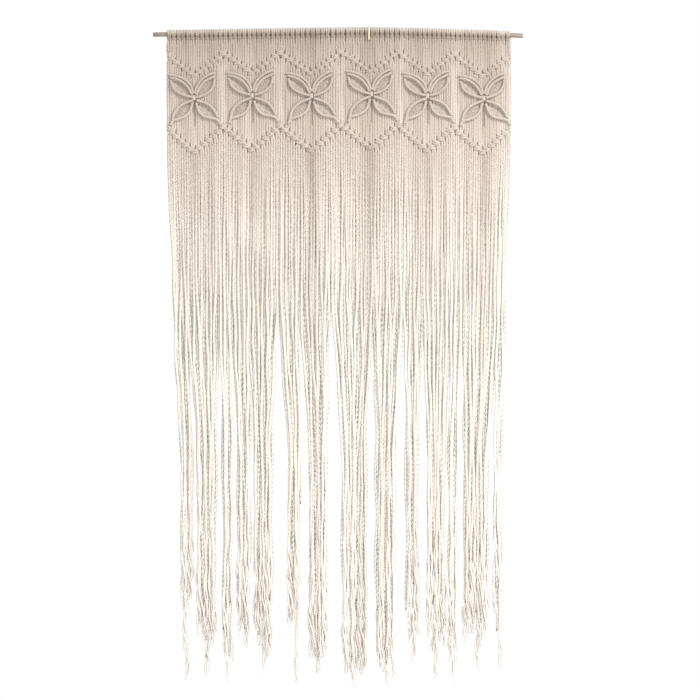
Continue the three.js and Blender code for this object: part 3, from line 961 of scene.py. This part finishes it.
def cotton(name, stops, groove_shade):
    """The stops give the colour from the rod to the foot, darker above and lighter below: painted
    shade and painted light.
    """
    material, v, shader = start_material(name)
    yarn = v.node("ShaderNodeUVMap", {"uv_map": "Yarn"})
    around = v.node("ShaderNodeSeparateXYZ", sockets={0: yarn})
    along = v.node("ShaderNodeSeparateXYZ", sockets={0: yarn}, out=1)
    tone = v.node("ShaderNodeAttribute", {"attribute_name": "tone"}, out=2)
    place = v.node("ShaderNodeTexCoord", out=3)
    height = v.node("ShaderNodeSeparateXYZ", sockets={0: place}, out=2)
    ply = v.math("COSINE", around * (6 * math.pi)) * 0.5 + 0.5
    threads = v.math("SINE", around * (48 * math.pi) + along * (18 * math.pi)) * 0.5 + 0.5
    mottle, fuzz = place.noise(45.0, 3.0), place.noise(900.0, 2.0)
    drop = height.ranged(0.0, -DROP)
    # The ramp darkens the cream near the rod and lightens it towards the foot: painted shade and
    # painted light.
    body = v.node("ShaderNodeValToRGB", {"stops": stops}, {0: drop})
    # Where this share is low, the groove colour paints shade between the plies; the drop term
    # fades that painted shade towards the foot.
    shade = ply * 0.4 + threads * 0.12 + fuzz * 0.2 + mottle * 0.28 + drop * 0.25
    shaded_groove = colour_mix(v, 1.0, body, (*groove_shade, 1), "MULTIPLY")
    plain = colour_mix(v, shade.ranged(0.1, 0.75), shaded_groove, body)
    # The tone lightens or darkens the colour: a random tone for each cord, and painted light and
    # shade in places.
    shader_colour = v.node(
        "ShaderNodeHueSaturation",
        sockets={"Value": tone * 0.045 + 1.0, "Saturation": 1.0 - tone * 0.06, "Color": plain},
    )
    bump = v.node(
        "ShaderNodeBump",
        sockets={"Strength": 0.5, "Distance": 0.0006, "Height": ply + threads * 0.35 + fuzz * 0.5},
    )
    v.tree.links.new(shader_colour.socket, shader.inputs["Base Color"])
    v.tree.links.new(bump.socket, shader.inputs["Normal"])
    shader.inputs["Roughness"].default_value = 0.92
    shader.inputs["Sheen Weight"].default_value = 0.25
    shader.inputs["Sheen Roughness"].default_value = 0.6
    shader.inputs["Specular IOR Level"].default_value = 0.2
    return material


LOOP_CREAM = (0.58, 0.51, 0.42)
cord_cotton = cotton(
    "unbleached_cotton",
    stops=[
        (0.0, (0.338, 0.294, 0.256)), (0.10, (0.357, 0.303, 0.262)), (0.17, (0.423, 0.369, 0.325)),
        (0.30, (0.505, 0.47, 0.425)), (0.5, (0.573, 0.541, 0.501)), (0.72, (0.572, 0.535, 0.497)),
        (0.90, (0.6, 0.56, 0.522)),
    ],
    groove_shade=(0.84, 0.79, 0.74),
)
loop_cotton = cotton(
    "pale_loop_cotton", stops=[(0.0, LOOP_CREAM), (1.0, LOOP_CREAM)], groove_shade=(0.84, 0.80, 0.74)
)
for piece in panels:
    piece.data.materials.append(cord_cotton)
loop.data.materials.append(loop_cotton)
print("cotton:", len(cord_cotton.node_tree.nodes), "nodes")

# %% [markdown]
# The dowel is plain sanded wood. Its grain runs lengthwise as long fine streaks, and
# shows a little on the roughness and the bump. A Wave texture gives the rings of a wide
# board. So thin a rod shows only streaks, which noise gives when it is drawn out.

# %% Sanded wood
def sanded_wood():
    material, v, shader = start_material("sanded_wood")
    place = v.node("ShaderNodeTexCoord", out=3)
    long_grain, fine_grain = (
        v.node("ShaderNodeMapping", sockets={"Vector": place, "Scale": scale})
        for scale in ((3.0, 120.0, 120.0), (60.0, 900.0, 900.0))
    )
    streaks, pores = long_grain.noise(4.0, 6.0, 0.6), fine_grain.noise(1.6, 3.0)
    stops = [
        (0.28, (0.12, 0.088, 0.074)), (0.5, (0.19, 0.15, 0.125)), (0.74, (0.265, 0.217, 0.183)),
    ]
    grain = streaks * 0.75 + pores * 0.25
    shade = v.node("ShaderNodeValToRGB", {"stops": stops}, {0: grain})
    bump = v.node(
        "ShaderNodeBump",
        sockets={"Strength": 0.35, "Distance": 0.0004, "Height": streaks + pores * 0.6},
    )
    v.tree.links.new(shade.socket, shader.inputs["Base Color"])
    v.tree.links.new((pores * 0.25 + 0.5).socket, shader.inputs["Roughness"])
    v.tree.links.new(bump.socket, shader.inputs["Normal"])
    return material


rod.data.materials.append(sanded_wood())
print("wood:", len(rod.data.materials[0].node_tree.nodes), "nodes")

# %% [markdown]
# The photograph looks straight at the curtain from far away. A long lens does the same
# and keeps the upright cords parallel. A camera without perspective would do that too,
# but it would lose the last trace of depth in the knots.

# %% Camera
VIEW_X, VIEW_Z, VIEW_WIDTH, VIEW_DISTANCE = -0.0514, -0.875, 1.892, 5.2
camera_data = bpy.data.cameras.new("camera")
camera_data.sensor_width = 36
camera_data.lens = 18 / (VIEW_WIDTH / 2 / VIEW_DISTANCE)
camera = bpy.data.objects.new("camera", camera_data)
camera.location = (VIEW_X, -VIEW_DISTANCE - 0.006, VIEW_Z)
camera.rotation_euler = (math.pi / 2, 0, 0)
bpy.context.scene.collection.objects.link(camera)
bpy.context.scene.camera = camera
print("lens:", round(camera_data.lens, 1), "mm")

# %% [markdown]
# The light is a plain soft studio: a white surround, one large lamp high on the right,
# which draws small shadows beside the ridges, and a weak one in front. A sun would draw
# hard shadows, which the photograph doesn't show. The floor is plain and pale and lies
# below the view.

# %% Light and floor
def area_light(name, place, target, size, watts, colour=(1, 1, 1)):
    data = bpy.data.lights.new(name, "AREA")
    data.shape, data.size, data.energy, data.color = "SQUARE", size, watts, colour
    lamp = bpy.data.objects.new(name, data)
    lamp.location = place
    aim = np.array(target) - np.array(place)
    lamp.rotation_euler = (
        math.atan2(math.hypot(aim[0], aim[1]), -aim[2]), 0, math.atan2(-aim[0], aim[1])
    )
    bpy.context.scene.collection.objects.link(lamp)


area_light("key", (2.2, -2.3, 1.8), (-0.05, 0, -0.4), 1.0, 165, (1.0, 0.97, 0.94))
area_light("front", (0.1, -3.6, -1.3), (-0.05, 0, -1.2), 2.0, 80, (1.0, 0.98, 0.95))

world = bpy.data.worlds.new("studio")
bpy.context.scene.world = world
world.use_nodes = True
backdrop = world.node_tree.nodes["Background"]
backdrop.inputs["Color"].default_value = (1, 1, 1, 1)
backdrop.inputs["Strength"].default_value = 1.0

floor_mesh = bpy.data.meshes.new("floor")
FLOOR = -1.93
floor_mesh.from_pydata(
    [(-2.0, -2.2, FLOOR), (2.0, -2.2, FLOOR), (2.0, 0.35, FLOOR), (-2.0, 0.35, FLOOR)],
    [], [(0, 1, 2, 3)],
)
floor = bpy.data.objects.new("floor", floor_mesh)
bpy.context.scene.collection.objects.link(floor)
floor_paint, _, floor_shader = start_material("pale_floor")
floor_shader.inputs["Base Color"].default_value = (0.88, 0.87, 0.85, 1)
floor_shader.inputs["Roughness"].default_value = 0.8
floor_mesh.materials.append(floor_paint)
bpy.context.scene.view_settings.view_transform = "Standard"
print("floor:", FLOOR, "m")
